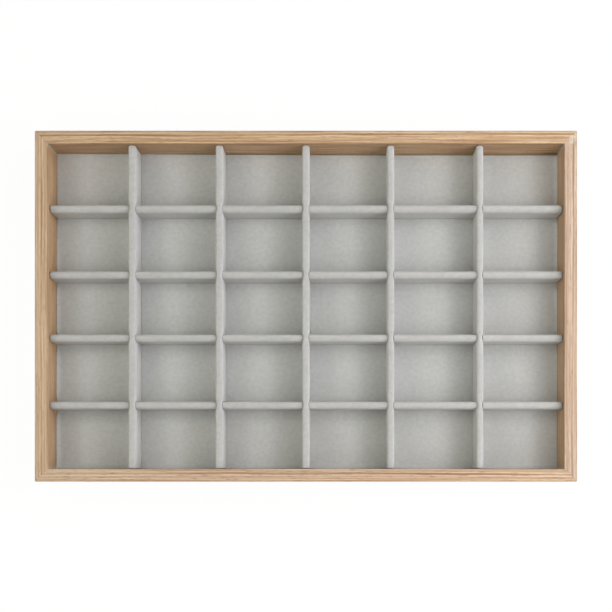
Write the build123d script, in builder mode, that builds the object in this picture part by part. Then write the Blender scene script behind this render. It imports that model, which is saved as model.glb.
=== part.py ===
"""Jewelry display tray: a mitred oak frame lined in suede, with a lift-out grid of covered dividers.

Sizes are in millimetres and +Z is up. X runs from left to right and Y from front to back. The
origin is on the surface that the tray stands on, under the middle of the tray.
"""

import os

from build123d import *

# Oak frame
tray_length = 340.0
tray_width = 220.0
rail_thickness = 8.0
rail_height = 33.5
corner_round = 0.8
rail_edge_round = 0.5
rail_foot_bevel = 0.4

# Loose keys hidden in the mitres
key_width = 5.0
key_thickness = 2.0
key_height = 18.0
key_clearance = 0.1

# Bottom board in its rabbet, and the felt pads that it stands on
board_thickness = 3.0
rabbet_width = 4.0
board_recess = 0.5
board_clearance = 0.2
pad_diameter = 14.0
pad_thickness = 2.0
pad_inset = 14.0

# Floor of the well: a card faced with suede, cut close to the walls
card_thickness = 1.2
lining_thickness = 0.8
lining_clearance = 0.1

# Dividers: a board in a soft suede cover, eased along the top and pinched where two of them cross
column_dividers = 5
row_dividers = 4
divider_board_thickness = 2.0
cover_thickness = 1.3
columns_below_rim = 3.4
rows_below_rim = 5.0
cover_top_round = 1.6
cover_end_round = 0.8
pinched_thickness = 2.8
pinch_length = 7.0

# The dividers are set by hand, so each stands a little off even spacing.
column_offsets = (-0.1, 0.0, -0.2, -1.5, 0.0)
row_offsets = (0.7, 1.4, -0.4, -0.4)

# Clearances of the grid, which lifts out of the frame
end_gap = 0.6
floor_gap = 0.3
slot_clearance = 0.35

# How far a cutting shape runs past what it cuts
overrun = 1.0

# Levels, from the surface up
board_bottom = pad_thickness
board_top = board_bottom + board_thickness
rail_bottom = board_bottom - board_recess
rail_top = rail_bottom + rail_height
card_top = board_top + card_thickness
floor_level = card_top + lining_thickness
grid_bottom = floor_level + floor_gap
column_top = rail_top - columns_below_rim
row_top = rail_top - rows_below_rim
crossing_level = (grid_bottom + row_top) / 2

# Plan sizes
well_length = tray_length - 2 * rail_thickness
well_width = tray_width - 2 * rail_thickness
board_length = well_length + 2 * (rabbet_width - board_clearance)
board_width = well_width + 2 * (rabbet_width - board_clearance)
lining_length = well_length - 2 * lining_clearance
lining_width = well_width - 2 * lining_clearance
divider_thickness = divider_board_thickness + 2 * cover_thickness
slot_width = pinched_thickness + 2 * slot_clearance
pinch_depth = (divider_thickness - pinched_thickness) / 2
pinch_radius = (pinch_length**2 / 4 + pinch_depth**2) / (2 * pinch_depth)

os.makedirs("parts", exist_ok=True)


def save(part, label):
    part.label = label
    export_step(part, f"parts/{label}.step")


def corners(length, width):
    """The corners of a rectangle about the middle, in order round it from the front left."""
    return [
        (-length / 2, -width / 2),
        (length / 2, -width / 2),
        (length / 2, width / 2),
        (-length / 2, width / 2),
    ]


# Mitred rails
# One ring carries the outline, the eased edges and the rabbet, and four mitred sectors cut it up.
outer_corners = corners(tray_length, tray_width)
inner_corners = corners(well_length, well_width)
key_places = corners(tray_length - rail_thickness, tray_width - rail_thickness)
corner_names = ["front_left", "front_right", "back_right", "back_left"]
side_names = ["front", "right", "back", "left"]
key_turns = [-45, 45, -45, 45]
key_bottom = (board_top + rail_top - key_height) / 2

with BuildPart() as frame_ring:
    with BuildSketch(Plane.XY.offset(rail_bottom)):
        RectangleRounded(tray_length, tray_width, corner_round)
        Rectangle(well_length, well_width, mode=Mode.SUBTRACT)
    extrude(amount=rail_height)
    with BuildSketch(Plane.XY.offset(rail_bottom)):
        Rectangle(well_length + 2 * rabbet_width, well_width + 2 * rabbet_width)
    extrude(amount=board_top - rail_bottom, mode=Mode.SUBTRACT)
    fillet(frame_ring.edges().group_by(Axis.Z)[-1], rail_edge_round)
    foot_edges = frame_ring.faces().sort_by(Axis.Z)[0].outer_wire().edges()
    chamfer(foot_edges, rail_foot_bevel)

for side, name in enumerate(side_names):
    after = (side + 1) % len(side_names)
    with BuildPart() as rail:
        add(frame_ring.part)
        with BuildSketch(Plane.XY.offset(rail_bottom - overrun)):
            with BuildLine():
                Polyline(
                    outer_corners[side],
                    outer_corners[after],
                    inner_corners[after],
                    inner_corners[side],
                    close=True,
                )
            make_face()
        extrude(amount=rail_height + 2 * overrun, mode=Mode.INTERSECT)
        for corner in (side, after):
            with BuildSketch(Plane.XY.offset(key_bottom - key_clearance)):
                with Locations(key_places[corner]):
                    Rectangle(
                        key_width + 2 * key_clearance,
                        key_thickness + 2 * key_clearance,
                        rotation=key_turns[corner],
                    )
            extrude(amount=key_height + 2 * key_clearance, mode=Mode.SUBTRACT)
    save(rail.part, f"rail_{name}")

for place, turn, name in zip(key_places, key_turns, corner_names):
    with BuildPart() as corner_key:
        with BuildSketch(Plane.XY.offset(key_bottom)):
            with Locations(place):
                Rectangle(key_width, key_thickness, rotation=turn)
        extrude(amount=key_height)
    save(corner_key.part, f"corner_key_{name}")

# Bottom board and foot pads
with BuildPart() as bottom_board:
    with BuildSketch(Plane.XY.offset(board_bottom)):
        Rectangle(board_length, board_width)
    extrude(amount=board_thickness)
save(bottom_board.part, "bottom_board")

pad_places = corners(board_length - 2 * pad_inset, board_width - 2 * pad_inset)
for place, name in zip(pad_places, corner_names):
    with BuildPart() as foot_pad:
        with BuildSketch():
            with Locations(place):
                Circle(pad_diameter / 2)
        extrude(amount=pad_thickness)
    save(foot_pad.part, f"foot_pad_{name}")

# Floor card and the suede on it
with BuildPart() as floor_card:
    with BuildSketch(Plane.XY.offset(board_top)):
        Rectangle(lining_length, lining_width)
    extrude(amount=card_thickness)
save(floor_card.part, "floor_card")

with BuildPart() as floor_lining:
    with BuildSketch(Plane.XY.offset(card_top)):
        Rectangle(lining_length, lining_width)
    extrude(amount=lining_thickness)
save(floor_lining.part, "floor_lining")


def spacing(well, count, offsets):
    """Centres of the dividers across a well, with equal clear widths between them."""
    clear = (well - count * divider_thickness) / (count + 1)
    first = clear + divider_thickness / 2 - well / 2
    pitch = clear + divider_thickness
    return [first + i * pitch + offsets[i % len(offsets)] for i in range(count)]


def divider_slab(planes, length, thickness, top, slots, slot_span):
    """A square-edged divider, halved where the others pass."""
    with BuildPart() as slab:
        with BuildSketch(planes["side"]):
            with Locations((0, grid_bottom)):
                Rectangle(length, top - grid_bottom, align=(Align.CENTER, Align.MIN))
            with Locations([(slot, sum(slot_span) / 2) for slot in slots]):
                Rectangle(slot_width, slot_span[1] - slot_span[0], mode=Mode.SUBTRACT)
        extrude(amount=thickness / 2, both=True)
    return slab.part


def save_divider(name, along, origin, length, top, slots, slot_span):
    """Writes a divider's board, and the suede cover that wraps it and pinches in at each slot."""
    up = Vector(0, 0, 1)
    across = along.cross(up)
    planes = {
        "side": Plane(origin=origin, x_dir=along, z_dir=across),
        "end": Plane(origin=origin, x_dir=across, z_dir=across.cross(up)),
        "plan": Plane(origin=origin, x_dir=along, z_dir=up),
    }
    board = divider_slab(
        planes,
        length - 2 * cover_thickness,
        divider_board_thickness,
        top - cover_thickness,
        slots,
        slot_span,
    )
    covered = divider_slab(planes, length, divider_thickness, top, slots, slot_span)
    pinch_centre = pinched_thickness / 2 + pinch_radius
    with BuildPart() as divider_cover:
        add(covered)
        with BuildSketch(planes["end"]) as end_profile:
            Rectangle(divider_thickness, top, align=(Align.CENTER, Align.MIN))
            fillet(end_profile.vertices().group_by(Axis.Y)[-1], cover_top_round)
        extrude(amount=length, both=True, mode=Mode.INTERSECT)
        with BuildSketch(planes["plan"]):
            RectangleRounded(length, divider_thickness, cover_end_round)
        extrude(amount=rail_top, mode=Mode.INTERSECT)
        with BuildSketch(planes["plan"]):
            with Locations([(slot, side * pinch_centre) for slot in slots for side in (-1, 1)]):
                Circle(pinch_radius)
        extrude(amount=rail_top, mode=Mode.SUBTRACT)
        add(board, mode=Mode.SUBTRACT)
    save(board, f"{name}_board")
    save(divider_cover.part, f"{name}_cover")


# Dividers
# Columns run front to back and are halved from below. Rows run left to right, halved from above.
column_places = spacing(well_length, column_dividers, column_offsets)
row_places = spacing(well_width, row_dividers, row_offsets)
column_slot_span = (grid_bottom - overrun, crossing_level + slot_clearance / 2)
row_slot_span = (crossing_level - slot_clearance / 2, row_top + overrun)

for number, place in enumerate(column_places, start=1):
    save_divider(
        f"column_{number}",
        Vector(0, 1, 0),
        Vector(place, 0, 0),
        well_width - 2 * end_gap,
        column_top,
        row_places,
        column_slot_span,
    )

for number, place in enumerate(row_places, start=1):
    save_divider(
        f"row_{number}",
        Vector(1, 0, 0),
        Vector(0, place, 0),
        well_length - 2 * end_gap,
        row_top,
        column_places,
        row_slot_span,
    )
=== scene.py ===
"""A jewelry display tray, dressed: an oak frame, suede linings and a lift-out grid of dividers."""

import math

import bpy
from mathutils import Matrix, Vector, noise

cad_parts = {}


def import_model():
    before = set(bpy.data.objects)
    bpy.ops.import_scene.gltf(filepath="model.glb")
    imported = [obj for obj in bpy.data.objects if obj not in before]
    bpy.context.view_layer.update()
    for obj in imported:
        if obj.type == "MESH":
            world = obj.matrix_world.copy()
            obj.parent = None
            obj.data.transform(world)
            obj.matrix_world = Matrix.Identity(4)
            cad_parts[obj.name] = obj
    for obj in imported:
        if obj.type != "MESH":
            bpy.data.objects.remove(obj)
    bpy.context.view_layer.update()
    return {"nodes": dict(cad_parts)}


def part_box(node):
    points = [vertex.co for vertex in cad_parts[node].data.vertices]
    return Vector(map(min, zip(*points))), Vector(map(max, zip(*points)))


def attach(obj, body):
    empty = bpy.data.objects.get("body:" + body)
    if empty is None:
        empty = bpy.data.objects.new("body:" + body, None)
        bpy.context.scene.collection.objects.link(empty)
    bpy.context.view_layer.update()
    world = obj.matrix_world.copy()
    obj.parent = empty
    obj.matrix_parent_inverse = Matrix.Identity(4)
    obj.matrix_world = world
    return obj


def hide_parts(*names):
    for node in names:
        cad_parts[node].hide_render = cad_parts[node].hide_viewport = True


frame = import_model()

# Real sizes are written in millimetres and turned to metres by this value.
MM = 0.001

# Places and sizes that the frame gives
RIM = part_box("rail_front")[1][2]
HALF_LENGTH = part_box("rail_right")[1][0]
HALF_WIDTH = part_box("rail_back")[1][1]
HALF_WELL_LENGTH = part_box("rail_right")[0][0]
HALF_WELL_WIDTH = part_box("rail_back")[0][1]
COLUMNS = sorted(n for n in frame["nodes"] if n.startswith("column_") and n.endswith("_cover"))
ROWS = sorted(n for n in frame["nodes"] if n.startswith("row_") and n.endswith("_cover"))
CORNERS = ("front_left", "front_right", "back_left", "back_right")

# Oak, in millimetres like all patterns: the spacing of its growth lines, how much they lean for
# each millimetre down, and the share of a spacing that they begin at. Opposite rails take their
# grain from places this far apart. An inner face lies this far in from a rail's outer face.
RING_SPACING = 1.9
RING_LEAN = 0.45
RING_START = 0.78
GRAIN_APART = 60.0
INNER_FACE = (7.7, 7.95)

# Marks on the oak: a pale patch on the back right corner of the rim, and painted shade, a dark
# patch at the foot of the wall in the same corner
PALE_PATCH_PLACE = (167.3, 105.0, 35.0)
PAINTED_SHADE_PLACE = (162.0, 102.0, 8.2)
PAINTED_SHADE_REACH = (14.0, 1.0, 2.0)

# Divider covers: a board, and the slit and the pinch where two dividers cross
BOARD_HALF = 1.0 * MM
THINNEST_SUEDE = 0.05 * MM
SLOT_HALF = 1.7 * MM
SLOT_GAP = 0.35 * MM
SLOT_ROUND = 0.35 * MM
SLOT_SINK = 0.15 * MM
PINCH_DEPTH = 0.65 * MM
PINCH_REACH = 4.2 * MM
PINCH_CURVE = 0.8
PINCH_SINK = 0.15 * MM

# Their rounded tops: how high the rounding is, and how square each side of it, where 2 is an
# ellipse. The columns on the right are also thinner on their right side.
COLUMN_RISE = 1.6 * MM
COLUMN_LEFT_EDGES = (5.0, 4.0, 4.0, 2.6, 2.5)
COLUMN_RIGHT_EDGE = 2.5
COLUMN_RIGHT_TRIMS = (0.0, 0.0, 0.1 * MM, 0.15 * MM, 0.3 * MM)
ROW_RISE = 2.2 * MM
ROW_BACK_EDGE = 3.2
ROW_FRONT_EDGES = (2.0, 1.75, 1.75, 1.5)
TOP_ANGLES = (0.1, 0.25, 0.45, 0.65, 0.85, 1.05, 1.25, 1.42)

# Their ends
END_ROUND = 0.6 * MM
BACK_END_ROUND = 1.2 * MM
END_REACH = 0.35 * MM
END_SINK, END_SINK_REACH = 0.3 * MM, 0.8 * MM

# How their suede varies: how far, over what length, and the place in the noise that it is read from
WAVER, WAVER_LENGTH, WAVER_PLACE = 0.07 * MM, 9 * MM, 0.3
SAG, SAG_LENGTH, SAG_PLACE = 0.10 * MM, 14 * MM, 0.7
SLACK, SLACK_LENGTH, SLACK_PLACE = 0.05 * MM, 7 * MM, 2

# Where their meshes have points: in from an end and away from a crossing, in millimetres, and at
# most this far apart between
END_STATIONS = (0.06, 0.16, 0.32, 0.55, 0.85, 1.4, 2.4)
CROSSING_STATIONS = (0.6, 1.2, 1.76, 1.86, 2.0, 2.2, 2.4, 2.8, 3.4, 4.2, 5.2, 6.6)
STATION_STEP = 3 * MM
TINY = 1e-7

# Floor lining: its grid and how its lines crowd to the walls, the curve of its turned-up edge, and
# how far from a divider's end it is pressed flat and free again
LINING_GRID = (180, 116)
CROWDING = 1.7
COVE_CURVE = 2.5
FLAT_WITHIN, FREE_BEYOND = 3.4 * MM, 6.5 * MM

# Its share of the whole height at each wall: two places along the wall and the shares there
LEFT_TURN_UP = (-95 * MM, 75 * MM, 1.0, 0.1)
RIGHT_TURN_UP = (-80 * MM, 90 * MM, 0.0, 0.6)
BACK_TURN_UP = 0.06
TURN_UP_WAVER, TURN_UP_WAVER_LENGTH = 0.15, 24 * MM

# Its unevenness, and how it stands back from the back wall
LINING_WAVES = ((17 * MM, 0.04 * MM), (6 * MM, 0.02 * MM))
STAND_BACK_REACH = 6 * MM
STAND_BACK_BEGINS, STAND_BACK_FULL = -110 * MM, 30 * MM
CORNER_CURVE = 1.5
PRESSED = 0.05 * MM

# Felt pads: the size of their tufts, how far the rim is drawn in to make room for them, how much
# lower the rim is than the middle, and the powers that keep both easings to the edge
TUFT = 1.3 * MM
PAD_DRAWN_IN = 0.015
PAD_LOWER_RIM = 0.14
EASED_POWER = 6.0
LOWER_RIM_POWER = 10.0
PAD_TURN = 1.3

# Panel pins
PIN_INSET = 2.0 * MM
PIN_TILT = 0.06
FULL_TURN = 6.28

# Stage: half the floor's size in metres, and how much of it the camera sees as plain white
STAGE_HALF = 4.0
SEEN_AS_WHITE = 0.95

# Softboxes: name, place in metres, watts, colour and side in metres
SOFTBOXES = (
    ("low_right", (0.95, 0.0, 0.3), 4.35, "#EBF1FF", 0.5),
    ("near_back_right", (0.38, 0.34, 0.42), 1.65, "#FFFEFF", 0.4),
    ("near_front_right", (0.38, -0.34, 0.42), 1.75, "#FCFCFF", 0.4),
    ("near_right", (0.5, 0.0, 0.42), 1.2, "#FFFDFD", 0.4),
    ("near_above_right", (0.3, 0.0, 0.6), 1.1, "#FFFEFD", 0.4),
    ("near_above_left", (-0.3, 0.0, 0.6), 1.25, "#FFFEF9", 0.4),
    ("low_left", (-0.95, 0.0, 0.3), 0.7, "#D9FFFD", 0.5),
    ("middle_left", (-0.8, 0.0, 0.65), 3.7, "#FFFEF0", 0.8),
    ("middle_front_left", (-0.57, -0.57, 0.65), 1.95, "#FEFFFB", 0.8),
)

# Camera: it looks straight down on the point at the rim's level that is seen at SIGHT, and its
# shift puts the tray's middle at TRAY. Both are in pixels from the picture's top left corner. The
# tray is 340 mm long and 542.6 pixels in the picture. The sensor's width is in millimetres.
PHOTO_PIXELS = 612
MM_PER_PIXEL = 340 / 542.6
SIGHT_X, SIGHT_Y = 342, 467
TRAY_X, TRAY_Y = 306.0, 306.1
CAMERA_ABOVE_RIM = 812 * MM
SENSOR = 36.0


def middle(node, axis):
    """The middle of a CAD node's box along one axis."""
    low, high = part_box(node)
    return (low[axis] + high[axis]) / 2


def bump_at(x, y, z, size):
    """A smooth random value from -1 to 1 that changes over about the given size."""
    return noise.noise(Vector((x, y, z)) / size)


# Shared helpers for materials


def srgb(code):
    """The linear colour of an sRGB hex code."""
    parts = [int(code[i : i + 2], 16) / 255 for i in (1, 3, 5)]
    linear = [p / 12.92 if p <= 0.04045 else ((p + 0.055) / 1.055) ** 2.4 for p in parts]
    return (*linear, 1.0)


def add_node(tree, kind, sockets=None, **settings):
    """Adds a node with its settings, and sets or links its sockets."""
    made = tree.nodes.new(kind)
    for key, value in settings.items():
        setattr(made, key, value)
    for key, value in (sockets or {}).items():
        if isinstance(value, bpy.types.NodeSocket):
            tree.links.new(value, made.inputs[key])
        else:
            made.inputs[key].default_value = value
    return made


def calculate(tree, operation, first, second=0.0, third=0.0):
    """One step of arithmetic, on numbers or on other nodes' outputs."""
    sockets = {0: first, 1: second, 2: third}
    return add_node(tree, "ShaderNodeMath", sockets, operation=operation).outputs[0]


def calculate_vector(tree, operation, first, second=(0.0, 0.0, 0.0)):
    """The vector that an operation makes, or the length or distance that it measures."""
    made = add_node(tree, "ShaderNodeVectorMath", {0: first, 1: second}, operation=operation)
    return made.outputs["Value" if operation in ("LENGTH", "DISTANCE") else "Vector"]


def remap(tree, value, low, high, to_low=0.0, to_high=1.0):
    """A value from low to high, turned to one from to_low to to_high and held between them."""
    sockets = {"Value": value, "From Min": low, "From Max": high}
    sockets |= {"To Min": to_low, "To Max": to_high}
    return add_node(tree, "ShaderNodeMapRange", sockets).outputs[0]


def speckle(tree, place, size_mm, detail=2.0, roughness=0.5):
    """Noise whose grains are about the given size in millimetres, each way or all ways alike."""
    sizes = size_mm if isinstance(size_mm, tuple) else (size_mm,) * 3
    mapping = {"Vector": place, "Scale": [1 / s for s in sizes]}
    scaled = add_node(tree, "ShaderNodeMapping", mapping).outputs[0]
    sockets = {"Vector": scaled, "Scale": 1.0, "Detail": detail, "Roughness": roughness}
    return add_node(tree, "ShaderNodeTexNoise", sockets).outputs["Fac"]


def blend_colours(tree, share, first, second, way="MIX"):
    """The first colour with this share of the second mixed in, or multiplied into it."""
    settings = {"data_type": "RGBA", "blend_type": way, "clamp_factor": False}
    return add_node(tree, "ShaderNodeMix", {0: share, 6: first, 7: second}, **settings).outputs[2]


def overlay(tree, colour, *layers):
    """Lays colours over one. Each layer says where it lies, how strong it is and its colour."""
    for where, strength, code in layers:
        share = calculate(tree, "MULTIPLY", where, strength)
        colour = blend_colours(tree, share, colour, srgb(code))
    return colour


def new_material(name, roughness):
    """An empty material with its shader, and the piece's own coordinates in millimetres."""
    material = bpy.data.materials.new(name)
    material.use_nodes = True
    tree = material.node_tree
    shader = tree.nodes["Principled BSDF"]
    shader.inputs["Roughness"].default_value = roughness
    place = add_node(tree, "ShaderNodeTexCoord").outputs["Object"]
    return material, tree, shader, calculate_vector(tree, "MULTIPLY", place, (1 / MM,) * 3)


def finish_material(tree, shader, colour, height, bump_mm, strength):
    """Gives the shader its colour, and a bump whose full height is in millimetres."""
    tree.links.new(colour, shader.inputs["Base Color"])
    sockets = {"Height": height, "Distance": bump_mm * MM, "Strength": strength}
    bump = add_node(tree, "ShaderNodeBump", sockets)
    tree.links.new(bump.outputs[0], shader.inputs["Normal"])


# Materials


def growth_lines(tree, ring):
    """Bands that darken slowly and end sharply, once for each whole number of the ring value."""
    late = add_node(tree, "ShaderNodeValToRGB", {"Fac": calculate(tree, "FRACT", ring)})
    begin, end = late.color_ramp.elements
    begin.position, begin.color = 0.3, (0, 0, 0, 1)
    end.position, end.color = 0.97, (0, 0, 0, 1)
    late.color_ramp.elements.new(0.78).color = (1, 1, 1, 1)
    number = {"W": calculate(tree, "FLOOR", ring)}
    chance = add_node(tree, "ShaderNodeTexWhiteNoise", number, noise_dimensions="1D")
    return late.outputs["Color"], remap(tree, chance.outputs["Value"], 0, 1, 0.35, 1.0)


def oak(
    name, runs_along, half_across, tint, inner_painted_tint, inner_painted_gain, darkest_mm, streak_mm, contrast
):
    """Straight-grained white oak, planed and sealed with clear matt lacquer. Dark growth lines
    about 2 mm apart run down each rail, one of them darkest, with pale early wood and short pores
    between them. Each board has its own place for that line, in from its outer edge, its own length
    of streak and its own contrast. The inner faces take a tone of their own, which is painted light
    and shade for how each wall is lit, and a pale ragged band runs up the inner corners. A pale
    patch lies on the rim's back right corner, and painted shade darkens the foot of the back wall
    there."""
    material, tree, shader, place = new_material(name, roughness=0.6)
    split = add_node(tree, "ShaderNodeSeparateXYZ", {0: place}).outputs
    down, across = split["X"], split["Y"]
    if runs_along == "y":
        down, across = across, down
    side = calculate(tree, "MULTIPLY", calculate(tree, "SIGN", across), GRAIN_APART)
    depth = calculate(tree, "SUBTRACT", half_across / MM, calculate(tree, "ABSOLUTE", across))
    down = calculate(tree, "ADD", down, side)
    sockets = {0: down, 1: depth, 2: split["Z"]}
    grain = add_node(tree, "ShaderNodeCombineXYZ", sockets).outputs[0]

    # Growth lines lean through the board, and wander a little along it.
    wander = remap(tree, speckle(tree, grain, (150, 14, 14), detail=1), 0.2, 0.8, -1.0, 1.0)
    ripple = remap(tree, speckle(tree, grain, (26, 3, 3), detail=1), 0.2, 0.8, -0.18, 0.18)
    strayed = calculate(tree, "ADD", depth, calculate(tree, "ADD", wander, ripple))
    from_rim = calculate(tree, "SUBTRACT", split["Z"], RIM / MM)
    off_darkest = calculate(tree, "SUBTRACT", strayed, darkest_mm)
    ring = calculate(tree, "MULTIPLY_ADD", from_rim, RING_LEAN, off_darkest)
    ring = calculate(tree, "MULTIPLY_ADD", ring, 1 / RING_SPACING, RING_START)
    late, strength = growth_lines(tree, ring)
    fade = remap(tree, speckle(tree, grain, (streak_mm, 2, 2), detail=1), 0.35, 0.65, 0.25, 1.0)
    lines = calculate(tree, "MULTIPLY", late, calculate(tree, "MULTIPLY", strength, fade))

    off_darkest = calculate(tree, "ABSOLUTE", off_darkest)
    darkest = calculate(tree, "MULTIPLY", remap(tree, off_darkest, 0.15, 0.75, 1.0, 0.0), fade)
    beside = calculate(tree, "ABSOLUTE", calculate(tree, "SUBTRACT", off_darkest, 1.0))
    pale_beside = remap(tree, beside, 0, 0.5, 1, 0)

    # Streaks of darker and lighter wood, and pores a few millimetres long that are drawn a little
    # coarse so that they show
    streaks = remap(tree, speckle(tree, grain, (0.9 * streak_mm, 1.0, 1.0), detail=1), 0.4, 0.62)
    bright = remap(tree, speckle(tree, grain, (0.75 * streak_mm, 0.8, 0.8), detail=1), 0.52, 0.68)
    tone = remap(tree, speckle(tree, grain, (1.6 * streak_mm, 9, 9), detail=1), 0.35, 0.65)
    pores = remap(tree, speckle(tree, grain, (5, 0.4, 0.4), detail=1), 0.56, 0.7)

    colour = blend_colours(tree, tone, srgb("#D1BAA3"), srgb("#C2A68B"))
    colour = overlay(
        tree,
        colour,
        (streaks, 0.65, "#A9876C"),
        (bright, 0.6, "#DFCAB4"),
        (pale_beside, 0.45, "#DDC7AF"),
        (lines, 0.75, "#8E6B4D"),
        (darkest, 0.6, "#7F5F43"),
        (pores, 0.45, "#886748"),
    )
    colour = blend_colours(tree, contrast, srgb("#B99B7D"), colour)
    # The rail's tint: partly its board's own colour, partly painted light.
    colour = blend_colours(tree, 1.0, colour, srgb(tint), way="MULTIPLY")

    # The glue line lies where the rail's distance from both outer edges is the same.
    size_x = calculate(tree, "SUBTRACT", HALF_LENGTH / MM, calculate(tree, "ABSOLUTE", split["X"]))
    size_y = calculate(tree, "SUBTRACT", HALF_WIDTH / MM, calculate(tree, "ABSOLUTE", split["Y"]))
    off_mitre = calculate(tree, "ABSOLUTE", calculate(tree, "SUBTRACT", size_x, size_y))
    glue = remap(tree, off_mitre, 0.05, 0.25, 1.0, 0.0)
    colour = overlay(tree, colour, (glue, 0.3, "#6F5535"))

    # The inner faces' own tone, painted light and shade for how each wall is lit, and a pale ragged
    # band up their corners
    inner_face = remap(tree, depth, *INNER_FACE)
    inner_painted_tone = [inner_painted_gain * part for part in srgb(inner_painted_tint)]
    colour = blend_colours(tree, inner_face, colour, inner_painted_tone, way="MULTIPLY")
    ragged = calculate(tree, "MULTIPLY", speckle(tree, place, (2, 2, 5), detail=2), 2.4)
    pale_corner_band = remap(tree, calculate(tree, "ADD", off_mitre, ragged), 1.8, 2.8, 1.0, 0.0)
    pale_corner_band = calculate(tree, "MULTIPLY", pale_corner_band, inner_face)

    # The back right corner of the rim is made paler, with a ragged outline.
    off_pale_patch = calculate_vector(tree, "DISTANCE", place, PALE_PATCH_PLACE)
    patch_outline = speckle(tree, place, (3.0, 0.8, 2), detail=2)
    off_pale_patch = calculate(tree, "MULTIPLY_ADD", patch_outline, 8.0, off_pale_patch)
    top_shade_and_pale_patch = remap(tree, off_pale_patch, 5.0, 6.5, 1.0, 0.0)

    # Painted shade darkens the foot of the back wall in its right corner.
    off_painted_shade = calculate_vector(tree, "SUBTRACT", place, PAINTED_SHADE_PLACE)
    off_painted_shade = calculate_vector(tree, "MULTIPLY", off_painted_shade, [1 / reach for reach in PAINTED_SHADE_REACH])
    painted_shade = remap(tree, calculate_vector(tree, "LENGTH", off_painted_shade), 0.35, 1.0, 1.0, 0.0)
    colour = overlay(
        tree, colour, (pale_corner_band, 0.75, "#B1A792"), (top_shade_and_pale_patch, 0.65, "#C3BDAD"), (painted_shade, 0.8, "#3E2C1E")
    )

    height = calculate(tree, "SUBTRACT", 1.0, calculate(tree, "MAXIMUM", pores, lines))
    finish_material(tree, shader, colour, height, 0.05, 0.4)
    shader.inputs["Specular IOR Level"].default_value = 0.2
    return material


def suede(name, light, dark, top_shade_and_pale_patch=0.0):
    """Pale grey microsuede with a short brushed nap: matt and soft, faintly mottled where the nap
    lies different ways, with a fine tooth from its fibres. Where it faces up it can be darkened a
    little: painted shade on the tops."""
    material, tree, shader, place = new_material(name, roughness=0.95)
    patches = remap(tree, speckle(tree, place, (16, 12, 12), detail=3), 0.3, 0.7)
    brushed = remap(tree, speckle(tree, place, (2.6, 2.2, 2.2), detail=3), 0.3, 0.7)
    fibres = speckle(tree, place, 0.55, detail=3, roughness=0.7)
    share = calculate(tree, "MULTIPLY_ADD", brushed, 0.5, calculate(tree, "MULTIPLY", patches, 0.2))
    share = calculate(tree, "MULTIPLY_ADD", remap(tree, fibres, 0.3, 0.7), 0.4, share)
    colour = blend_colours(tree, share, srgb(light), srgb(dark))
    # Painted shade: where the suede faces up it is darkened a little.
    if top_shade_and_pale_patch:
        facing = add_node(tree, "ShaderNodeTexCoord").outputs["Normal"]
        up = add_node(tree, "ShaderNodeSeparateXYZ", {0: facing}).outputs["Z"]
        colour = overlay(tree, colour, (remap(tree, up, 0.2, 0.9), top_shade_and_pale_patch, "#000000"))
    finish_material(tree, shader, colour, fibres, 0.12, 0.35)
    shader.inputs["Specular IOR Level"].default_value = 0.15
    shader.inputs["Sheen Weight"].default_value = 0.12
    shader.inputs["Sheen Roughness"].default_value = 0.6
    return material


def fibreboard(name, light, dark):
    """Bare medium-density fibreboard: matt brown, with fine pressed fibres in lighter and darker
    flecks."""
    material, tree, shader, place = new_material(name, roughness=0.85)
    flecks = speckle(tree, place, (1.1, 0.5, 0.5), detail=3, roughness=0.7)
    clouds = remap(tree, speckle(tree, place, 30, detail=2), 0.3, 0.7, 0, 0.4)
    share = calculate(tree, "MULTIPLY_ADD", remap(tree, flecks, 0.35, 0.65), 0.6, clouds)
    colour = blend_colours(tree, share, srgb(light), srgb(dark))
    finish_material(tree, shader, colour, flecks, 0.06, 0.3)
    return material


def beech():
    """Steamed beech, bare: pinkish tan with short darker ray flecks along the grain."""
    material, tree, shader, place = new_material("steamed_beech", roughness=0.6)
    grain = speckle(tree, place, (0.6, 0.6, 9), detail=2)
    rays = remap(tree, speckle(tree, place, (0.25, 0.25, 1.8), detail=1), 0.6, 0.7)
    colour = blend_colours(tree, grain, srgb("#D2A982"), srgb("#BB8D66"))
    colour = overlay(tree, colour, (rays, 0.5, "#8E6241"))
    finish_material(tree, shader, colour, grain, 0.04, 0.3)
    return material


def buff_board():
    """Unbleached board: matt buff with stray paper fibres."""
    material, tree, shader, place = new_material("buff_board", roughness=0.9)
    fibres = speckle(tree, place, (0.9, 0.4, 0.9), detail=3, roughness=0.7)
    share = remap(tree, fibres, 0.35, 0.65)
    colour = blend_colours(tree, share, srgb("#B8A992"), srgb("#A89780"))
    finish_material(tree, shader, colour, fibres, 0.05, 0.3)
    return material


def felt():
    """Pressed grey felt: a dense mat of fibres, with a loose surface and no shine."""
    material, tree, shader, place = new_material("pressed_felt", roughness=1.0)
    mat = speckle(tree, place, 0.5, detail=4, roughness=0.75)
    tufts = speckle(tree, place, 2.2, detail=2)
    share = calculate(tree, "MULTIPLY_ADD", mat, 0.7, calculate(tree, "MULTIPLY", tufts, 0.3))
    share = remap(tree, share, 0.35, 0.65)
    colour = blend_colours(tree, share, srgb("#8F8E8B"), srgb("#6F6E6C"))
    finish_material(tree, shader, colour, mat, 0.25, 0.6)
    shader.inputs["Sheen Weight"].default_value = 0.2
    return material


def pin_steel():
    """Zinc-plated steel pin heads: pale grey metal, brushed a little by the hammer."""
    material, tree, shader, place = new_material("zinc_plated_steel", roughness=0.35)
    shader.inputs["Metallic"].default_value = 1.0
    marks = speckle(tree, place, (0.3, 0.1, 0.3), detail=2)
    colour = blend_colours(tree, marks, srgb("#B9BABB"), srgb("#97989A"))
    finish_material(tree, shader, colour, marks, 0.02, 0.3)
    return material


# Each rail's tint is partly its board's own colour and partly painted light that evens out how the
# rim's four sides are lit; its inner tint and gain are painted light and shade on its inner face.
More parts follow.
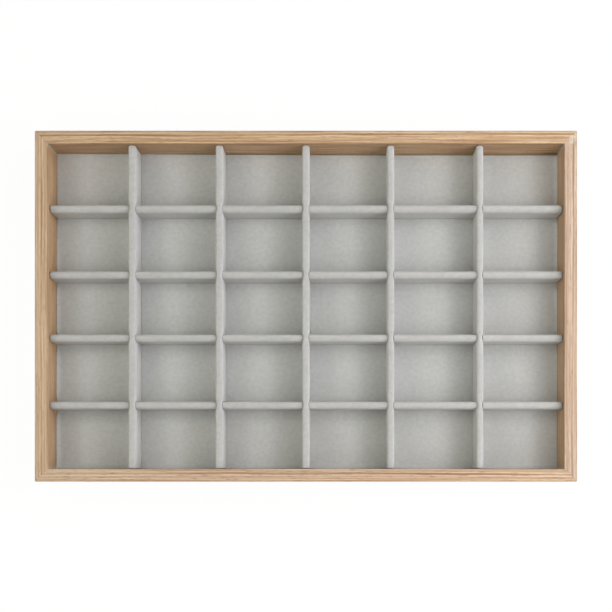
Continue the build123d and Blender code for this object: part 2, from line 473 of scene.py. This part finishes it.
OAK_FRONT = oak(
    "white_oak_front_rail",
    "x",
    HALF_WIDTH,
    tint="#E0DAD1",
    inner_painted_tint="#F6F2E8",
    inner_painted_gain=1.0,
    darkest_mm=4.8,
    streak_mm=130,
    contrast=1.35,
)
OAK_RIGHT = oak(
    "white_oak_right_rail",
    "y",
    HALF_LENGTH,
    tint="#E0E0E3",
    inner_painted_tint="#FFF4E4",
    inner_painted_gain=1.06,
    darkest_mm=3.0,
    streak_mm=75,
    contrast=0.95,
)
OAK_BACK = oak(
    "white_oak_back_rail",
    "x",
    HALF_WIDTH,
    tint="#DFD7C6",
    inner_painted_tint="#FFFAF6",
    inner_painted_gain=1.1,
    darkest_mm=2.8,
    streak_mm=52,
    contrast=1.1,
)
OAK_LEFT = oak(
    "white_oak_left_rail",
    "y",
    HALF_LENGTH,
    tint="#E6E4DC",
    inner_painted_tint="#FCF4E6",
    inner_painted_gain=1.0,
    darkest_mm=3.8,
    streak_mm=50,
    contrast=0.8,
)
# The floor's suede is the dividers' fabric, written a little lighter and less warm: painted light
# for the floor down in the compartments. The dividers' suede has painted shade on its tops.
SUEDE_FLOOR_PAINTED_LIGHTER = suede("microsuede_floor", "#C1C2C1", "#AEAFAC")
SUEDE_DIVIDERS = suede("microsuede_dividers", "#BCBBB8", "#A9A8A5", top_shade_and_pale_patch=0.2)
DIVIDER_BOARD = fibreboard("fibreboard_dividers", "#A98B68", "#8C6E4E")
BOTTOM_BOARD = fibreboard("fibreboard_bottom", "#B39470", "#957656")
BEECH = beech()
BUFF_BOARD = buff_board()
FELT = felt()
PIN_STEEL = pin_steel()


# Shared helpers for meshes


def new_piece(name, points, faces, material, body):
    """Makes a smooth mesh in place, in metres, with one material, and lets it ride on its body."""
    mesh = bpy.data.meshes.new(name)
    mesh.from_pydata(points, [], faces)
    mesh.validate()
    made = bpy.data.objects.new(name, mesh)
    bpy.context.scene.collection.objects.link(made)
    mesh.materials.append(material)
    for face in mesh.polygons:
        face.use_smooth = True
    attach(made, body)
    return made


def paint(node, material):
    """Gives a CAD node its material."""
    mesh = frame["nodes"][node].data
    mesh.materials.clear()
    mesh.materials.append(material)


# Shared helpers for shapes that follow a rule


def new_tree(name, sizes):
    """A geometry tree with geometry in and out and a named input for each size."""
    tree = bpy.data.node_groups.new(name, "GeometryNodeTree")
    tree.interface.new_socket("Geometry", in_out="INPUT", socket_type="NodeSocketGeometry")
    for label, size in sizes.items():
        kind = "NodeSocketInt" if isinstance(size, int) else "NodeSocketFloat"
        tree.interface.new_socket(label, in_out="INPUT", socket_type=kind)
    tree.interface.new_socket("Geometry", in_out="OUTPUT", socket_type="NodeSocketGeometry")
    return tree, add_node(tree, "NodeGroupInput").outputs


def end_tree(tree, geometry, material):
    """Makes the geometry real, gives it its material and sends it out."""
    plain = add_node(tree, "GeometryNodeRealizeInstances", {"Geometry": geometry}).outputs[0]
    sockets = {"Geometry": plain, "Material": material}
    dressed = add_node(tree, "GeometryNodeSetMaterial", sockets).outputs[0]
    add_node(tree, "NodeGroupOutput", {"Geometry": dressed})


def vector(tree, x=0.0, y=0.0, z=0.0):
    """A vector of three numbers or outputs."""
    return add_node(tree, "ShaderNodeCombineXYZ", {0: x, 1: y, 2: z}).outputs[0]


def position(tree):
    """Each point's place, whole and as its three parts."""
    place = add_node(tree, "GeometryNodeInputPosition").outputs[0]
    return place, add_node(tree, "ShaderNodeSeparateXYZ", {0: place}).outputs


def waves(tree, place, size):
    """Smooth noise from -1 to 1 that changes over about the given size."""
    sockets = {0: place, "Scale": 1 / size}
    scaled = add_node(tree, "ShaderNodeVectorMath", sockets, operation="SCALE").outputs[0]
    sockets = {"Vector": scaled, "Scale": 1.0, "Detail": 1.0}
    grain = add_node(tree, "ShaderNodeTexNoise", sockets).outputs["Fac"]
    return remap(tree, grain, 0.3, 0.7, -1.0, 1.0)


def grow(name, tree, sizes, spots, smooth=True):
    """A plain mesh that a tree makes from its sizes and from the spots that it is given."""
    seed = bpy.data.meshes.new(name)
    seed.from_pydata(spots, [], [])
    made = bpy.data.objects.new(name, seed)
    bpy.context.scene.collection.objects.link(made)
    modifier = made.modifiers.new(name, "NODES")
    modifier.node_group = tree
    for socket in tree.interface.items_tree:
        if socket.in_out == "INPUT" and socket.name in sizes:
            modifier[socket.identifier] = sizes[socket.name]
    shaped = made.evaluated_get(bpy.context.evaluated_depsgraph_get())
    mesh = bpy.data.meshes.new_from_object(shaped)
    made.modifiers.remove(modifier)
    made.data = mesh
    for face in mesh.polygons:
        face.use_smooth = smooth
    return made


# Frame, keys, boards and card keep their CAD shapes.
paint("rail_front", OAK_FRONT)
paint("rail_right", OAK_RIGHT)
paint("rail_back", OAK_BACK)
paint("rail_left", OAK_LEFT)
paint("bottom_board", BOTTOM_BOARD)
paint("floor_card", BUFF_BOARD)
for corner in CORNERS:
    paint(f"corner_key_{corner}", BEECH)
for cover in COLUMNS + ROWS:
    paint(cover.replace("_cover", "_board"), DIVIDER_BOARD)


# Divider covers


def stations(half, crossings):
    """Places along a divider: close together at its ends and crossings, and wider between."""
    found = {-half, half}
    for inward in END_STATIONS:
        found |= {-half + inward * MM, half - inward * MM}
    for crossing in crossings:
        for away in CROSSING_STATIONS:
            found |= {crossing - away * MM, crossing + away * MM}
        found |= {crossing, crossing - SLOT_HALF, crossing + SLOT_HALF}
    ordered = sorted(found)
    spread = []
    for here, after in zip(ordered, ordered[1:]):
        steps = max(1, round((after - here) / STATION_STEP))
        spread += [here + (after - here) * i / steps for i in range(steps)]
    return spread + [ordered[-1]]


def rounding(from_end, radius):
    """How far a rounded corner draws in at a distance from the end."""
    short = max(0.0, radius - from_end)
    return radius - math.sqrt(radius**2 - short**2)


def half_section(side_levels, rise, squareness):
    """One side of a cover's section, from its foot to beside its ridge: how far out each point is,
    as a share of the half width, and its level."""
    section = [(1.0, level) for level in side_levels]
    for angle in TOP_ANGLES:
        out, up = (f(angle) ** (2 / squareness) for f in (math.cos, math.sin))
        section.append((out, side_levels[-1] + rise * up))
    return section


def width_and_sink(s, nearest, runs_along, centre, half_thick, half_length):
    """How wide a cover is to each side of its middle, and how far its top is sunk, at a place along
    it that is this far from the nearest crossing. It is rounded at its ends. A column is drawn in
    tight at its crossings, and a row is rounded beside its slits."""
    from_end = half_length - abs(s)
    end_round = BACK_END_ROUND if runs_along == "y" and s > 0 else END_ROUND
    waver = WAVER * bump_at(s, centre, WAVER_PLACE, WAVER_LENGTH)
    width = half_thick + waver * min(1, nearest / PINCH_REACH)
    width = max(width - rounding(from_end, end_round), BOARD_HALF + THINNEST_SUEDE)
    sink = SAG * (1 + bump_at(s, centre, SAG_PLACE, SAG_LENGTH))
    sink += END_SINK * max(0.0, 1 - from_end / END_SINK_REACH) ** 2
    if runs_along == "x":
        off_slit = nearest - SLOT_HALF
        width -= rounding(max(0.0, off_slit), SLOT_ROUND)
        sink += SLOT_SINK * max(0.0, 1 - off_slit / SLOT_ROUND) ** 2
    elif nearest < PINCH_REACH:
        swell = 0.5 + 0.5 * math.cos(math.pi * nearest / PINCH_REACH)
        width -= PINCH_DEPTH * swell**PINCH_CURVE
        sink += PINCH_SINK * (1 - nearest / PINCH_REACH)
    return width, sink


def divider_cover(node, runs_along, crossings, rise, edges, trim=0.0):
    """A suede cover that wraps a divider's board: rounded on top, closed over both ends, and slit
    where another divider passes. Columns are slit from below and rows from above. Its rounding has
    one squareness on the right or front and one on the left or back, and the trim thins its
    right."""
    low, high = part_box(node)
    slot_from_above = runs_along == "x"
    along, across = (1, 0) if runs_along == "y" else (0, 1)
    centre = (low[across] + high[across]) / 2
    half_length = (high[along] - low[along]) / 2 + END_REACH
    half_thick = (high[across] - low[across]) / 2
    bottom, top = low[2], high[2]
    shoulder = top - rise
    row_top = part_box(ROWS[0])[1][2]
    crossing_level = (bottom + row_top) / 2
    cut = crossing_level + SLOT_GAP / 2 * (-1 if slot_from_above else 1)

    # The mesh's lines up a side, from the foot past the slit to where the rounding begins
    side_levels = [bottom, bottom + 0.4 * MM, bottom + 3 * MM, (bottom + cut) / 2, cut - 1 * MM]
    side_levels += [cut, cut + 1 * MM, (cut + shoulder) / 2, shoulder - 1.5 * MM, shoulder]
    near, far = (half_section(side_levels, rise, squareness) for squareness in edges)
    section = [(-t, level) for t, level in near] + [(0.0, top)] + far[::-1]
    last = len(section) - 1

    def put(s, out, z):
        """A point at a place along the divider, this far out to its left or back."""
        return (centre - out, s, z) if runs_along == "y" else (s, centre + out, z)

    points = []
    places = stations(half_length, crossings)
    for s in places:
        nearest = min(abs(s - c) for c in crossings)
        width, sink = width_and_sink(s, nearest, runs_along, centre, half_thick, half_length)
        for t, level in section:
            slack = SLACK * bump_at(s, level, SLACK_PLACE + t, SLACK_LENGTH)
            above = max(0.0, level - shoulder)
            z = level - above * sink / (top - shoulder)
            points.append(put(s, t * (width + slack - (trim if t < 0 else 0.0)), z))

    def at(i, j):
        return i * (last + 1) + j

    def slit(level_low, level_high):
        return level_low >= cut - TINY if slot_from_above else level_high <= cut + TINY

    # Sides and top, open in the slits, with a hem under the foot from each side to the board
    faces = []
    for i, (here, after) in enumerate(zip(places, places[1:])):
        in_slot = any(
            c - SLOT_HALF - TINY <= here and after <= c + SLOT_HALF + TINY for c in crossings
        )
        for j in range(last):
            levels = sorted((section[j][1], section[j + 1][1]))
            if not (in_slot and slit(*levels)):
                faces.append((at(i, j), at(i + 1, j), at(i + 1, j + 1), at(i, j + 1)))
        if in_slot and not slot_from_above:
            continue
        for j, turn in ((0, 1), (last, -1)):
            inner = [len(points), len(points) + 1]
            for k in (i, i + 1):
                points.append(put(places[k], -turn * BOARD_HALF, points[at(k, j)][2]))
            hem = (at(i, j), inner[0], inner[1], at(i + 1, j))
            faces.append(hem if turn == 1 else hem[::-1])

    def cap(i, from_j, to_j, facing_back):
        """Closes the section at a place, between two of its levels."""
        for j in range(from_j, to_j):
            face = (at(i, j), at(i, j + 1), at(i, last - j - 1), at(i, last - j))
            face = face[:3] if last - j - 1 == j + 1 else face
            faces.append(face if facing_back else face[::-1])

    half_way = last // 2
    cap(0, 0, half_way, True)
    cap(len(places) - 1, 0, half_way, False)
    cut_row = side_levels.index(cut)
    span = (cut_row, half_way) if slot_from_above else (0, cut_row)
    for crossing in crossings:
        begin = min(range(len(places)), key=lambda i: abs(places[i] - (crossing - SLOT_HALF)))
        end = min(range(len(places)), key=lambda i: abs(places[i] - (crossing + SLOT_HALF)))
        cap(begin, *span, False)
        cap(end, *span, True)

    name = node.replace("_cover", "_suede_wrap")
    wrap = new_piece(name, points, faces, SUEDE_DIVIDERS, "divider_grid")
    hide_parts(node)
    steps = zip(section, section[1:])
    girth = sum(math.hypot((u - t) * half_thick, v - w) for (t, w), (u, v) in steps)


COLUMN_PLACES = [middle(n, 0) for n in COLUMNS]
ROW_PLACES = [middle(n, 1) for n in ROWS]
for column, left_edge, right_trim in zip(COLUMNS, COLUMN_LEFT_EDGES, COLUMN_RIGHT_TRIMS):
    both_edges = (COLUMN_RIGHT_EDGE, left_edge)
    divider_cover(column, "y", ROW_PLACES, COLUMN_RISE, both_edges, right_trim)
for row, front_edge in zip(ROWS, ROW_FRONT_EDGES):
    divider_cover(row, "x", COLUMN_PLACES, ROW_RISE, (front_edge, ROW_BACK_EDGE))


# Floor lining


def floor_tree(sizes):
    """A rule for the lining: a flat sheet that turns up along the front wall and along the left
    one, less so towards the back, and a little along the right one, most towards the back. It is
    pressed flat where the dividers' ends stand, and stands a little back from the back wall on its
    right, most of all in the corner."""
    tree, given = new_tree("floor_lining", sizes)
    lines_x, lines_y = LINING_GRID
    sheet = {"Size X": 2.0, "Size Y": 2.0, "Vertices X": lines_x, "Vertices Y": lines_y}
    sheet = add_node(tree, "GeometryNodeMeshGrid", sheet).outputs["Mesh"]
    flat = position(tree)[1]

    def crowd_to_walls(share, size):
        """Draws the grid's lines together towards the walls: a line's place, how far in it is, and
        half the size."""
        half = calculate(tree, "MULTIPLY", size, 0.5)
        inward = calculate(tree, "SUBTRACT", 1.0, calculate(tree, "ABSOLUTE", share))
        inward = calculate(tree, "MULTIPLY", half, calculate(tree, "POWER", inward, CROWDING))
        out = calculate(tree, "SUBTRACT", half, inward)
        return calculate(tree, "MULTIPLY", out, calculate(tree, "SIGN", share)), inward, half

    x, inward_x, half_x = crowd_to_walls(flat["X"], given["Size X"])
    y, inward_y, half_y = crowd_to_walls(flat["Y"], given["Size Y"])
    here = vector(tree, x, y, given["Level"])
    stands = {"Geometry": given["Geometry"], "Sample Position": here}
    to_stand = add_node(tree, "GeometryNodeProximity", stands, target_element="POINTS")
    freedom = remap(tree, to_stand.outputs["Distance"], FLAT_WITHIN, FREE_BEYOND)

    def cove(inward, share):
        """A hollow curve up to the wall, as a share of its whole height."""
        near_wall = remap(tree, inward, 0, given["Reach"], 1.0, 0.0)
        return calculate(tree, "MULTIPLY", calculate(tree, "POWER", near_wall, COVE_CURVE), share)

    sides = {0: calculate(tree, "GREATER_THAN", x, 0.0)}
    sides |= {2: remap(tree, y, *LEFT_TURN_UP), 3: remap(tree, y, *RIGHT_TURN_UP)}
    share_x = add_node(tree, "ShaderNodeMix", sides).outputs[0]
    in_front = calculate(tree, "LESS_THAN", y, 0.0)
    share_y = calculate(tree, "MAXIMUM", in_front, BACK_TURN_UP)
    turned = calculate(tree, "MAXIMUM", cove(inward_x, share_x), cove(inward_y, share_y))
    uneven = waves(tree, here, TURN_UP_WAVER_LENGTH)
    uneven = calculate(tree, "MULTIPLY_ADD", uneven, TURN_UP_WAVER, 1.0)
    turned = calculate(tree, "MULTIPLY", calculate(tree, "MULTIPLY", turned, uneven), freedom)
    height = calculate(tree, "MULTIPLY_ADD", turned, given["Turn Up"], given["Level"])
    for length, depth in LINING_WAVES:
        height = calculate(tree, "MULTIPLY_ADD", waves(tree, here, length), depth, height)

    from_back = calculate(tree, "SUBTRACT", half_y, y)
    from_back = remap(tree, from_back, 0, STAND_BACK_REACH, 1.0, 0.0)
    to_right = remap(tree, x, STAND_BACK_BEGINS, STAND_BACK_FULL)
    to_right = calculate(tree, "MULTIPLY", to_right, given["Stand Back"])
    from_right = calculate(tree, "SUBTRACT", half_x, x)
    from_right = remap(tree, from_right, 0, given["Shrink Along"], 1.0, 0.0)
    in_corner = calculate(tree, "POWER", from_right, CORNER_CURVE)
    in_corner = calculate(tree, "MULTIPLY", in_corner, given["Shrink"])
    drawn_in = calculate(tree, "ADD", to_right, in_corner)
    y = calculate(tree, "SUBTRACT", y, calculate(tree, "MULTIPLY", drawn_in, from_back))
    formed = {"Geometry": sheet, "Position": vector(tree, x, y, height)}
    formed = add_node(tree, "GeometryNodeSetPosition", formed).outputs[0]

    # A skirt runs from the sheet's edge down to the card.
    beside = {2: add_node(tree, "GeometryNodeInputMeshEdgeNeighbors").outputs[0], 3: 1}
    edge = add_node(tree, "FunctionNodeCompare", beside, data_type="INT", operation="EQUAL")
    drop = {"Mesh": formed, "Selection": edge.outputs[0]}
    drop |= {"Offset": (0, 0, -1), "Offset Scale": given["Thickness"]}
    edged = add_node(tree, "GeometryNodeExtrudeMesh", drop, mode="EDGES").outputs
    foot = position(tree)[1]
    card_level = calculate(tree, "SUBTRACT", given["Level"], given["Thickness"])
    footed = {"Geometry": edged["Mesh"], "Selection": edged["Top"]}
    footed["Position"] = vector(tree, foot["X"], foot["Y"], card_level)
    footed = add_node(tree, "GeometryNodeSetPosition", footed).outputs[0]
    end_tree(tree, footed, SUEDE_FLOOR_PAINTED_LIGHTER)
    return tree


def floor_sheet():
    low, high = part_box("floor_lining")
    thickness = high[2] - low[2]
    sizes = {
        "Size X": high[0] - low[0],
        "Size Y": high[1] - low[1],
        "Level": high[2] - PRESSED,
        "Thickness": thickness - PRESSED,
        "Turn Up": 3.2 * MM,
        "Reach": 3.0 * MM,
        "Stand Back": 0.9 * MM,
        "Shrink": 0.3 * MM,
        "Shrink Along": 14 * MM,
    }
    stands = [(x, side * HALF_WELL_WIDTH, high[2]) for x in COLUMN_PLACES for side in (-1, 1)]
    stands += [(side * HALF_WELL_LENGTH, y, high[2]) for y in ROW_PLACES for side in (-1, 1)]
    sheet = grow("floor_suede_wrap", floor_tree(sizes), sizes, stands)
    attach(sheet, "tray")
    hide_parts("floor_lining")


floor_sheet()


# Foot pads


def pad_tree(sizes):
    """A rule for a punched felt disc: its edges are eased and a little ragged."""
    tree, given = new_tree("felt_pad", sizes)
    disc = {"Vertices": 56, "Side Segments": 6, "Fill Segments": 5}
    disc |= {"Radius": given["Radius"], "Depth": given["Thickness"]}
    disc = add_node(tree, "GeometryNodeMeshCylinder", disc).outputs["Mesh"]
    place, at = position(tree)
    from_middle = calculate_vector(tree, "LENGTH", vector(tree, at["X"], at["Y"]))
    rim = calculate(tree, "DIVIDE", from_middle, given["Radius"])
    half = calculate(tree, "MULTIPLY", given["Thickness"], 0.5)
    level = calculate(tree, "DIVIDE", calculate(tree, "ABSOLUTE", at["Z"]), half)
    tufts = waves(tree, place, TUFT)
    ragged = calculate(tree, "MULTIPLY_ADD", tufts, given["Ragged"], 1 - PAD_DRAWN_IN)
    eased = calculate(tree, "POWER", level, EASED_POWER)
    eased = calculate(tree, "MULTIPLY", eased, given["Eased"])
    wide = calculate(tree, "SUBTRACT", ragged, eased)
    tall = calculate(tree, "POWER", rim, LOWER_RIM_POWER)
    tall = calculate(tree, "MULTIPLY_ADD", tall, -PAD_LOWER_RIM, 1.0)
    scaled = calculate_vector(tree, "MULTIPLY", place, vector(tree, wide, wide, tall))
    soft = {"Geometry": disc, "Position": scaled}
    soft = add_node(tree, "GeometryNodeSetPosition", soft).outputs[0]
    turn = {0: vector(tree, z=given["Turn"])}
    turn = add_node(tree, "FunctionNodeEulerToRotation", turn).outputs[0]
    put = {"Points": given["Geometry"], "Instance": soft, "Rotation": turn}
    end_tree(tree, add_node(tree, "GeometryNodeInstanceOnPoints", put).outputs[0], FELT)
    return tree


def foot_pads():
    low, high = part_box("foot_pad_front_left")
    sizes = {
        "Radius": (high[0] - low[0]) / 2,
        "Thickness": high[2] - low[2],
        "Ragged": 0.012,
        "Eased": 0.045,
        "Turn": 0.0,
    }
    tree = pad_tree(sizes)
    for number, corner in enumerate(CORNERS):
        node = f"foot_pad_{corner}"
        sizes["Turn"] = PAD_TURN * number
        centre = tuple(middle(node, axis) for axis in range(3))
        pad = grow(f"{node}_felt", tree, sizes, [centre])
        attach(pad, "tray")
        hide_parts(node)


foot_pads()


# Panel pins


def panel_pins():
    """Small steel pins, tapped in round the edge of the bottom board to hold it in its rabbet."""
    low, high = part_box("bottom_board")
    head_height = 0.3 * MM
    sizes = {
        "Ring Length": high[0] - low[0] - 2 * PIN_INSET,
        "Ring Width": high[1] - low[1] - 2 * PIN_INSET,
        "Count": 20,
        "Head Radius": 1.1 * MM,
        "Face Radius": 0.75 * MM,
        "Head Height": head_height,
        "Level": low[2] - head_height,
    }
    tree, given = new_tree("panel_pins", sizes)
    ring = {"Width": given["Ring Length"], "Height": given["Ring Width"]}
    ring = add_node(tree, "GeometryNodeCurvePrimitiveQuadrilateral", ring).outputs[0]
    half_on = calculate(tree, "ADD", add_node(tree, "GeometryNodeInputIndex").outputs[0], 0.5)
    along = calculate(tree, "DIVIDE", half_on, given["Count"])
    spot = {"Curves": ring, "Factor": along}
    spot = add_node(tree, "GeometryNodeSampleCurve", spot, mode="FACTOR").outputs["Position"]
    spot = calculate_vector(tree, "ADD", spot, vector(tree, z=given["Level"]))
    spots = {"Count": given["Count"], "Position": spot}
    spots = add_node(tree, "GeometryNodePoints", spots).outputs[0]
    head = {"Vertices": 14, "Depth": given["Head Height"]}
    head |= {"Radius Top": given["Head Radius"], "Radius Bottom": given["Face Radius"]}
    head = add_node(tree, "GeometryNodeMeshCone", head).outputs["Mesh"]
    tilt = {"Min": (-PIN_TILT, -PIN_TILT, 0.0), "Max": (PIN_TILT, PIN_TILT, FULL_TURN), "Seed": 4}
    tilt = add_node(tree, "FunctionNodeRandomValue", tilt, data_type="FLOAT_VECTOR").outputs[0]
    tilt = add_node(tree, "FunctionNodeEulerToRotation", {0: tilt}).outputs[0]
    heads = {"Points": spots, "Instance": head, "Rotation": tilt}
    end_tree(tree, add_node(tree, "GeometryNodeInstanceOnPoints", heads).outputs[0], PIN_STEEL)
    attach(grow("panel_pins", tree, sizes, [(0, 0, 0)], smooth=False), "tray")


panel_pins()


# Stage: a pale floor that the camera sees nearly white, and softboxes to the right and left


def stage_material(name, colour):
    """A pale matt floor. The camera and reflections see it nearly white, with the tray's shadow."""
    material = bpy.data.materials.new(name)
    material.use_nodes = True
    tree = material.node_tree
    shader = tree.nodes["Principled BSDF"]
    shader.inputs["Base Color"].default_value = colour
    shader.inputs["Roughness"].default_value = 0.9
    white = add_node(tree, "ShaderNodeEmission", {"Color": (1, 1, 1, 1), "Strength": 1.0})
    path = add_node(tree, "ShaderNodeLightPath").outputs
    seen = calculate(tree, "MAXIMUM", path["Is Camera Ray"], path["Is Glossy Ray"])
    seen = calculate(tree, "MAXIMUM", seen, path["Is Transmission Ray"])
    share = calculate(tree, "MULTIPLY", seen, SEEN_AS_WHITE)
    sockets = {0: share, 1: shader.outputs[0], 2: white.outputs[0]}
    mixed = add_node(tree, "ShaderNodeMixShader", sockets).outputs[0]
    tree.links.new(mixed, tree.nodes["Material Output"].inputs["Surface"])
    return material


def stage():
    """The wide floor that the tray stands on."""
    mesh = bpy.data.meshes.new("studio_floor")
    sides = ((-1, -1), (1, -1), (1, 1), (-1, 1))
    mesh.from_pydata([(x * STAGE_HALF, y * STAGE_HALF, 0) for x, y in sides], [], [(0, 1, 2, 3)])
    mesh.materials.append(stage_material("studio_floor", srgb("#F2F2F0")))
    floor = bpy.data.objects.new("studio_floor", mesh)
    bpy.context.scene.collection.objects.link(floor)


def world():
    """White to the camera, and no light of its own."""
    made = bpy.data.worlds.new("studio")
    bpy.context.scene.world = made
    made.use_nodes = True
    tree = made.node_tree
    path = add_node(tree, "ShaderNodeLightPath").outputs
    seen = calculate(tree, "MAXIMUM", path["Is Camera Ray"], path["Is Transmission Ray"])
    tree.links.new(seen, tree.nodes["Background"].inputs["Strength"])
    tree.nodes["Background"].inputs["Color"].default_value = (1, 1, 1, 1)


def softbox(name, place, watts, colour, size):
    """A square softbox that faces the tray."""
    lamp = bpy.data.lights.new(name, "AREA")
    lamp.shape = "SQUARE"
    lamp.size = size
    lamp.energy = watts
    lamp.color = srgb(colour)[:3]
    made = bpy.data.objects.new(name, lamp)
    made.location = place
    made.rotation_euler = (-Vector(place)).to_track_quat("-Z", "Y").to_euler()
    bpy.context.scene.collection.objects.link(made)


stage()
world()
for box in SOFTBOXES:
    softbox(*box)


# Camera


def camera():
    """A camera that looks straight down, its lens shifted to bring the tray to the middle."""
    view_mm = PHOTO_PIXELS * MM_PER_PIXEL
    aside = (SIGHT_X - TRAY_X) * MM_PER_PIXEL
    forward = (TRAY_Y - SIGHT_Y) * MM_PER_PIXEL
    lens = bpy.data.cameras.new("camera")
    lens.sensor_width = SENSOR
    lens.lens = SENSOR * (CAMERA_ABOVE_RIM / MM) / view_mm
    lens.shift_x = -aside / view_mm + (PHOTO_PIXELS / 2 - TRAY_X) / PHOTO_PIXELS
    lens.shift_y = -forward / view_mm + (TRAY_Y - PHOTO_PIXELS / 2) / PHOTO_PIXELS
    made = bpy.data.objects.new("camera", lens)
    made.location = (aside * MM, forward * MM, RIM + CAMERA_ABOVE_RIM)
    bpy.context.scene.collection.objects.link(made)
    bpy.context.scene.camera = made


camera()
bpy.context.scene.view_settings.view_transform = "Standard"
